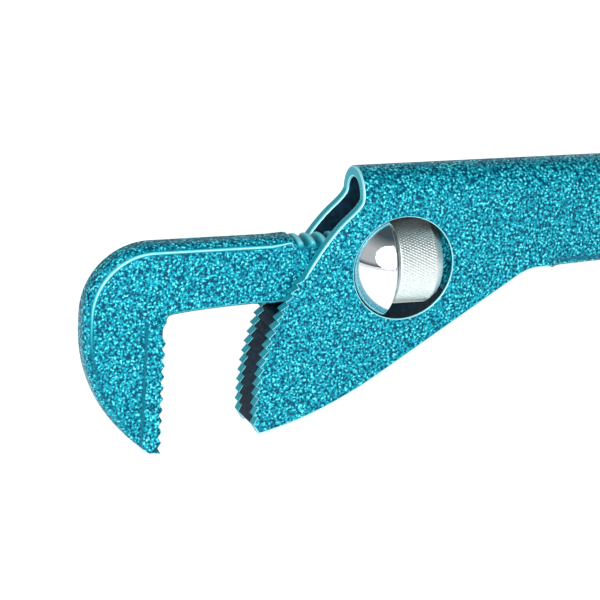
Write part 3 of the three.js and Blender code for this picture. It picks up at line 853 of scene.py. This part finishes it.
def hook_underside():
    """From the notch over the pad's nose and the throat, along the arm to the thread."""
    notch = (HOOK_ROOT_X, PAD_TOP - HOOK_NOTCH)
    nose = (HOOK_TIP_X, PAD_TOP)
    under = [notch] + curve(notch, (HOOK_ROOT_X, PAD_TOP - HOOK_NOTCH / 2), nose, steps=4)
    under += curve(nose, (HOOK_TIP_X, THROAT[1]), THROAT, steps=6)
    dip, level_from = (ARM_START - ARM_EASE, ARM_BOTTOM - 0.6), (ARM_START + ARM_EASE, ARM_BOTTOM)
    under += curve(THROAT, dip, level_from, steps=8)
    growth = UNDER_ROUNDING - NOTCH_ROUNDING
    points = [(p, NOTCH_ROUNDING + growth * smooth(i, 5, 12)) for i, p in enumerate(under)]
    points.append(((THREAD_START - 5.0, ARM_BOTTOM), UNDER_ROUNDING))
    return points + [((THREAD_START, ARM_BOTTOM), PLAIN_ROUNDING)]


def hook_outline():
    """Side view of the hook and its arm, with an edge radius for every point."""
    shoulder_end = (THREAD_START - 2.4, ARM_TOP)
    shoulder = curve((THREAD_START, ARM_SHOULDER_Z), (THREAD_START, ARM_TOP), shoulder_end, steps=6)
    points = [((THREAD_START, ARM_SHOULDER_Z), PLAIN_ROUNDING)] + [(p, SHOULDER_ROUNDING) for p in shoulder]
    points.append(((THREAD_START - 9.0, ARM_TOP), OUTER_ROUNDING))
    corner_centre = (HOOK_LOW.x + HOOK_CORNER, ARM_TOP - HOOK_CORNER)
    corner = arc(corner_centre, HOOK_CORNER, math.pi / 2, math.pi, steps=24)
    points += [(p, OUTER_ROUNDING) for p in corner]
    return points + hook_back() + hook_teeth() + hook_underside()


def pad_swell(x, z):
    """How far the toothed edge stands out on each side."""
    return PAD_PROUD * smooth(x, *PAD_STEP) * smooth(-z, -PAD_RAMP[1], -PAD_RAMP[0])


def pad_step_shade(x, z):
    """How near a place is to the middle of the step beside the toothed edge, from 0 to 1; it sets the painted
    shade along the step.
    """
    side = smooth(x, *PAD_STEP)
    return 4 * side * (1 - side) * smooth(-z, -PAD_TOP - 1.0, -PAD_TOP)


def thread_radius(x, angle):
    """Radius of the rounded screw thread at a place round the shank."""
    phase = (x - THREAD_START) / THREAD_PITCH - angle / (2 * math.pi)
    away = abs(phase - round(phase))
    rise = 1 - smooth(away, THREAD_CREST / 2, THREAD_CREST / 2 + THREAD_FLANK)
    return THREAD_ROOT + (THREAD_RADIUS - THREAD_ROOT) * rise


def shank_section(x, shrink=0.0):
    """The shank's cross-section: threaded above and below, flat at the sides, its long edges broken."""
    points = []
    half = SHANK_HALF - shrink
    for side in (1, -1):
        across = [half, half - SHANK_BREAK]
        across += [half * (1 - 2 * i / SHANK_COLUMNS) for i in range(1, SHANK_COLUMNS)]
        across += [SHANK_BREAK - half, -half]
        for y in (w * side for w in across):
            radius = thread_radius(x, math.atan2(side * THREAD_RADIUS, y)) - shrink
            drop = SHANK_BREAK if abs(y) == half else 0.0
            points.append((x, y, side * (math.sqrt(radius ** 2 - y * y) - drop)))
        points += [(x, -side * half, side * FLAT_HALF), (x, -side * half, -side * FLAT_HALF)]
    return points


def swell_pad(bm):
    """Raises the toothed pad on both sides, with painted shade along its step."""
    for i in range(PAD_CUTS + 1):
        share = i / PAD_CUTS
        cut(bm, (PAD_STEP[0] + (PAD_STEP[1] - PAD_STEP[0]) * share, 0, 0), (1, 0, 0))
        cut(bm, (0, 0, PAD_RAMP[0] + (PAD_RAMP[1] - PAD_RAMP[0]) * share), (0, 0, 1))
    smooth_light_layer = bm.verts.layers.float["smooth_coat_painted_light"]
    for vert in bm.verts:
        vert.co.y *= 1 + pad_swell(vert.co.x, vert.co.z) / SHANK_HALF
        # The painted highlight along the hook's edge fades toward the toe; the pad's step gets painted shade.
        fading = vert[smooth_light_layer] * (HIGHLIGHT_AT_TOE + HIGHLIGHT_RISE * smooth(vert.co.z, *HIGHLIGHT_FADE))
        vert[smooth_light_layer] = max(fading, SMOOTH_COAT * pad_step_shade(vert.co.x, vert.co.z))


def hook_with_shank():
    """The hook and its arm as one rounded plate, and the threaded shank that is drawn out of it."""
    outline, radii = zip(*hook_outline())
    bm = rounded_plate(list(outline), list(radii), SHANK_HALF, steps=6, smooth_coat_painted_light=HOOK_HIGHLIGHT_ROWS)
    swell_pad(bm)
    start, end = THREAD_START - 1.0, HOOK_HIGH.x
    stations = int((end - start) / SHANK_STEP)
    row = row_of(bm, shank_section(start))
    bm.faces.new(row)
    for i in range(1, stations):
        row = extrude_row(bm, row, shank_section(start + (end - start) * i / stations))
    row = extrude_row(bm, row, shank_section(end, SHANK_BREAK))
    bm.faces.new(row)
    smooth_light_layer = bm.verts.layers.float["smooth_coat_painted_light"]
    # On the thread the coat is smooth, its roots darker as painted shade and its crests paler as a painted
    # highlight.
    for vert in bm.verts:
        if vert.co.x > THREAD_START:
            crest = smooth(math.hypot(vert.co.y, vert.co.z), THREAD_ROOT, THREAD_RADIUS)
            off_flat = smooth(abs(vert.co.z), FLAT_HALF, FLAT_HALF + 1.0)
            vert[smooth_light_layer] = (THREAD_SMOOTH_SHADE + CREST_HIGHLIGHT * crest) * off_flat
    return piece("hook_with_shank", bm, [ENAMEL], "hook", ["hook_jaw"])


# ---- nut and ring -----------------------------------------------------------------------------------------
BALL = 20.0
RING_BORE = 11.6
BORE_SLACK = 0.35
RING_STEPS = 40
RING_RIM_X = -6.0
RING_NECK = 12.9
KNURL_TEETH = 90
KNURL_AXIAL = 2.0
KNURL_DEPTH = 0.26
KNURL_ROWS = 55
KNURL_SEGMENTS = KNURL_TEETH * 6
KNURL_SHARP_EDGE = 70.0             # degrees; the knurl's slopes are shaded smooth
NUT_EDGE_X = 10.6
NUT_NOSE = 12.5


def double_flat_bore():
    """The space that the flat-sided shank runs through."""
    flat = SHANK_HALF + BORE_SLACK
    turn = math.acos(flat / RING_BORE)
    section = arc((0, 0), RING_BORE, turn, math.pi - turn, steps=24)
    section += [(-y, -z) for y, z in section]
    bm = bmesh.new()
    row = row_of(bm, [(RING_LOW.x - 1.0, y, z) for y, z in section])
    bm.faces.new(row)
    bm.faces.new(extrude_row(bm, row, [(RING_HIGH.x + 1.0, y, z) for y, z in section]))
    bmesh.ops.recalc_face_normals(bm, faces=bm.faces)
    return bm


def bored(bm, cutter):
    """Takes one closed shape away from another."""
    things = []
    for shape in (bm, cutter):
        mesh = bpy.data.meshes.new("blank")
        shape.to_mesh(mesh)
        shape.free()
        things.append(bpy.data.objects.new("blank", mesh))
        bpy.context.scene.collection.objects.link(things[-1])
    blank, tool = things
    cut_away = blank.modifiers.new("bore", "BOOLEAN")
    cut_away.object = tool
    cut_away.solver = "EXACT"
    result = bmesh.new()
    result.from_object(blank, bpy.context.evaluated_depsgraph_get())
    for thing in things:
        bpy.data.meshes.remove(thing.data)
    return result


def ball_seat_ring():
    """Polished ball zone with a narrow neck toward the nut."""
    front, back = RING_LOW.x, RING_HIGH.x
    start, stop = front + 0.12, RING_RIM_X - 0.6
    profile = [(0.0, front), (math.sqrt(BALL ** 2 - start ** 2) - 0.3, front)]
    for i in range(RING_STEPS + 1):
        x = start + (stop - start) * i / RING_STEPS
        profile.append((math.sqrt(BALL ** 2 - x ** 2), x))
    rim = (math.sqrt(BALL ** 2 - stop ** 2), stop)
    profile += curve(rim, (rim[0] + 0.15, RING_RIM_X), (rim[0] - 0.8, RING_RIM_X), steps=6)
    neck_corner = (RING_NECK, RING_RIM_X)
    profile += rounded_corner((rim[0] - 1.0, RING_RIM_X), neck_corner, (RING_NECK, back), radius=0.6)
    profile += [(RING_NECK, back - 0.3), (RING_NECK - 0.3, back), (0.0, back)]
    blank = turned(profile, segments=160)
    bmesh.ops.remove_doubles(blank, verts=blank.verts, dist=MERGE)
    bmesh.ops.recalc_face_normals(blank, faces=blank.faces)
    ring = bored(blank, double_flat_bore())
    return piece("ball_seat_ring", ring, [CHROME], "thrust_ring", ["domed_thrust_ring"])


def knurl(x, angle):
    """How high the diamond knurl stands, 0 in its grooves and 1 on its points."""
    turn = angle * KNURL_TEETH / (2 * math.pi)
    crossing = (abs(2 * ((turn + lead * x / KNURL_AXIAL) % 1) - 1) for lead in (1, -1))
    return min(crossing)


def knurled_barrel():
    """Diamond-knurled barrel with a chamfered nose and a plain bore."""
    radius, left, right = NUT_HIGH.y, NUT_LOW.x, NUT_HIGH.x
    bore = THREAD_ROOT + 0.5
    rolled_from, rolled_to = left + 0.6, NUT_EDGE_X - 0.1
    profile = [(bore + 0.8, left), (radius - 0.75, left), (radius - 0.2, left + 0.4)]
    for i in range(KNURL_ROWS + 1):
        profile.append((radius, rolled_from + (rolled_to - rolled_from) * i / KNURL_ROWS))
    profile += [(radius - 0.35, NUT_EDGE_X + 0.25), (NUT_NOSE + 0.3, right - 0.3), (NUT_NOSE - 0.2, right)]
    profile += [(bore + 0.9, right), (bore, right - 0.8), (bore, left + 0.7)]
    bm = turned(profile, KNURL_SEGMENTS)
    for vert in bm.verts:
        out = math.hypot(vert.co.y, vert.co.z)
        if out > radius - 0.01:
            shrink = 1 - KNURL_DEPTH * (1 - knurl(vert.co.x, math.atan2(vert.co.z, vert.co.y))) / out
            vert.co.y *= shrink
            vert.co.z *= shrink
    return piece("knurled_barrel", bm, [SATIN], "nut", ["knurled_nut"], sharp=KNURL_SHARP_EDGE)


# ---- spring and fasteners ---------------------------------------------------------------------------------
SPRING_SHEET = 0.9
SPRING_GAP = 0.3                    # between the thread and the spring at rest
SPRING_TOUCH = (25.0, THREAD_RADIUS + SPRING_GAP + SPRING_SHEET / 2)
SPRING_TIP = (-9.0, 27.2)
SPRING_EYE_START = math.radians(90 - 290)
EYE_EASE, TOUCH_EASE, TAIL_EASE = 22.0, 14.0, 9.0
HEAD_GAP = 0.3                      # between a rivet's head and the plate


def stop_pin():
    """Plain pin with broken ends, pressed into the shank's end so that the nut stays on."""
    radius = (STOP_HIGH.x - STOP_LOW.x) / 2
    half = (STOP_HIGH.z - STOP_LOW.z) / 2
    edge = 0.35
    side = [(0.0, -half), (radius - edge, -half), (radius, edge - half)]
    profile = side + [(r, -h) for r, h in reversed(side)]
    bm = turned(profile, segments=40, axis="Y")
    bmesh.ops.rotate(bm, verts=bm.verts, cent=(0, 0, 0), matrix=Matrix.Rotation(math.pi / 2, 3, "X"))
    at = ((STOP_LOW.x + STOP_HIGH.x) / 2, 0, (STOP_LOW.z + STOP_HIGH.z) / 2)
    return piece("stop_pin", bm, [ZINC], "hook", ["shank_stop_pin"], offset=at)


def ease(start, leave, arrive, end, steps):
    """Points on a cubic curve, without its first one."""
    points = []
    for i in range(1, steps + 1):
        t = i / steps
        shares = ((1 - t) ** 3, 3 * t * (1 - t) ** 2, 3 * t * t * (1 - t), t ** 3)
        points.append(tuple(sum(w * p[k] for w, p in zip(shares, (start, leave, arrive, end))) for k in (0, 1)))
    return points


def spring_line():
    """Side view of the strip's middle: an eye, a long bow down to the shank, and a tail up under the fold."""
    pin = middle_of(PIN_LOW, PIN_HIGH)
    eye = PIN_HOLE + SPRING_SHEET / 2
    top = (pin[0], pin[1] + eye)
    touch_x, touch_z = SPRING_TOUCH
    line = arc(pin, eye, SPRING_EYE_START, math.pi / 2, steps=30)
    line += ease(top, (top[0] - EYE_EASE, top[1]), (touch_x + TOUCH_EASE, touch_z), SPRING_TOUCH, steps=28)
    tip_ease = (SPRING_TIP[0] + TOUCH_EASE, SPRING_TIP[1])
    return line + ease(SPRING_TOUCH, (touch_x - TAIL_EASE, touch_z), tip_ease, SPRING_TIP, steps=24)


def bowed_spring():
    """Bent strip that gives as the shank rocks against it."""
    line = spring_line()
    upper, lower = [], []
    for before, point, after in zip([line[0]] + line[:-1], line, line[1:] + [line[-1]]):
        across = (Vector(after) - Vector(before)).normalized() * SPRING_SHEET / 2
        upper.append((point[0] - across.y, point[1] + across.x))
        lower.append((point[0] + across.y, point[1] - across.x))
    strip = upper + lower[::-1]
    if not anticlockwise(strip):
        strip.reverse()
    bm = rounded_plate(strip, [0.12] * len(strip), SPRING_HIGH.y, steps=1)
    spring = piece("bowed_spring", bm, [SPRING_STEEL], "handle", ["leaf_spring"])
    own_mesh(spring)
    return spring


def riveted_cross_pin():
    """Riveted pin with low crowned heads."""
    head = (PIN_HIGH.x - PIN_LOW.x) / 2
    face = PIN_HIGH.y
    under = HALF + HEAD_GAP
    crown = [(head * math.sin(a), under + 0.3 + (face - under - 0.3) * math.cos(a))
             for a in (math.pi / 2 * i / 9 for i in range(10))]
    side = crown + [(head, under + 0.1), (head - 0.1, under), (2.0, under)]
    bm = turned(side + [(r, -y) for r, y in reversed(side)], segments=48, axis="Y")
    at = middle_of(PIN_LOW, PIN_HIGH)
    offset = (at[0], 0, at[1])
    return piece("riveted_cross_pin", bm, [ZINC], "handle", ["spring_pin"], offset=offset)


def rolled_eyelet():
    """Hollow rivet with rolled flanges round the hanging hole."""
    flange = (EYELET_HIGH.x - EYELET_LOW.x) / 2
    face = EYELET_HIGH.y
    under = HALF + HEAD_GAP
    bore, outside = 4.8, 6.0
    side = [(bore, face - 1.0)] + curve((bore, face - 1.0), (bore + 0.2, face), (bore + 1.3, face), steps=6)
    side += [(flange - 1.0, face)] + curve((flange - 1.0, face), (flange, face), (flange, under), steps=6)
    side.append((outside, under))
    bm = turned(side + [(r, -y) for r, y in reversed(side)], segments=72, axis="Y")
    at = middle_of(EYELET_LOW, EYELET_HIGH)
    offset = (at[0], 0, at[1])
    return piece("rolled_eyelet", bm, [ZINC], "handle", ["hanging_eyelet"], offset=offset)


for make in (folded_handle, jaw_insert, hook_with_shank, ball_seat_ring, knurled_barrel, stop_pin, bowed_spring,
             riveted_cross_pin, rolled_eyelet):
    make()


# ---- floor, light and camera ------------------------------------------------------------------------------
FLOOR_HALF = 4.0


def pale_floor():
    """Matt background paper: pale and even, with a little glow of its own so that shadows on it stay soft."""
    bm = bmesh.new()
    bmesh.ops.create_grid(bm, x_segments=1, y_segments=1, size=FLOOR_HALF)
    mesh = bpy.data.meshes.new("floor")
    bm.to_mesh(mesh)
    bm.free()
    paper = bpy.data.materials.new("pale_floor")
    Nodes(paper).finish({
        "Base Color": level(0.6), "Roughness": 0.9, "Emission Color": level(1.0), "Emission Strength": 0.72,
    })
    mesh.materials.append(paper)
    floor = bpy.data.objects.new("floor", mesh)
    bpy.context.scene.collection.objects.link(floor)


def studio_sky():
    """Soft light from all round: dim blue at the horizon and below, white above it, dimmer again overhead."""
    world = bpy.data.worlds.new("studio")
    nodes = Nodes(world)
    split = nodes.add("ShaderNodeSeparateXYZ", links={"Vector": (nodes.coords, "Generated")})
    sky = nodes.add("ShaderNodeValToRGB", links={"Fac": (split, "Z")}, stops=[
        (0.0, rgb("3d5f70")), (0.12, rgb("ffffff")), (0.5, rgb("ffffff")), (0.85, rgb("5d6f78")),
    ])
    glow = nodes.add("ShaderNodeBackground", {"Strength": 0.55}, {"Color": (sky, "Color")})
    nodes.add("ShaderNodeOutputWorld", links={"Surface": (glow, "Background")})
    bpy.context.scene.world = world


def soft_lamp(name, place, aim, size, watts):
    """A soft round-edged panel of light that faces a point."""
    light = bpy.data.lights.new(name, "AREA")
    light.shape = "ELLIPSE"
    light.size, light.size_y = size
    light.energy = watts
    lamp = bpy.data.objects.new(name, light)
    lamp.location = place
    lamp.rotation_euler = (Vector(aim) - Vector(place)).to_track_quat("-Z", "Y").to_euler()
    bpy.context.scene.collection.objects.link(lamp)


AZIMUTH = math.radians(-22.3)
ELEVATION = math.radians(18.0)
ROLL = math.radians(3.6)
DISTANCE = 1.207
AIM = Vector((-0.0944, 0.0073, 0.0472))
LENS, FILM = 210.0, 36.0            # mm
FAR = 20.0                          # metres


def camera():
    """Looks down on the jaws from the front left, a little tilted, through a long lens."""
    forward = Vector((
        -math.sin(AZIMUTH) * math.cos(ELEVATION), math.cos(AZIMUTH) * math.cos(ELEVATION), -math.sin(ELEVATION),
    ))
    right = forward.cross(Vector((0, 0, 1))).normalized()
    up = right.cross(forward)
    turned_right = right * math.cos(ROLL) + up * math.sin(ROLL)
    turned_up = up * math.cos(ROLL) - right * math.sin(ROLL)
    data = bpy.data.cameras.new("camera")
    data.lens = LENS
    data.sensor_width = FILM
    data.clip_end = FAR
    view = bpy.data.objects.new("camera", data)
    view.matrix_world = Matrix((
        (turned_right.x, turned_up.x, -forward.x, 0),
        (turned_right.y, turned_up.y, -forward.y, 0),
        (turned_right.z, turned_up.z, -forward.z, 0),
        (0, 0, 0, 1),
    ))
    view.location = AIM - forward * DISTANCE
    bpy.context.scene.collection.objects.link(view)
    bpy.context.scene.camera = view


bpy.context.scene.view_settings.view_transform = "Standard"
pale_floor()
studio_sky()
soft_lamp("key", place=(-0.32, -0.45, 0.26), aim=(-0.06, 0, 0.05), size=(0.6, 0.45), watts=4.2)
soft_lamp("back", place=(0.75, 0.65, 0.25), aim=(-0.02, 0, 0.06), size=(0.5, 0.3), watts=4.5)
camera()
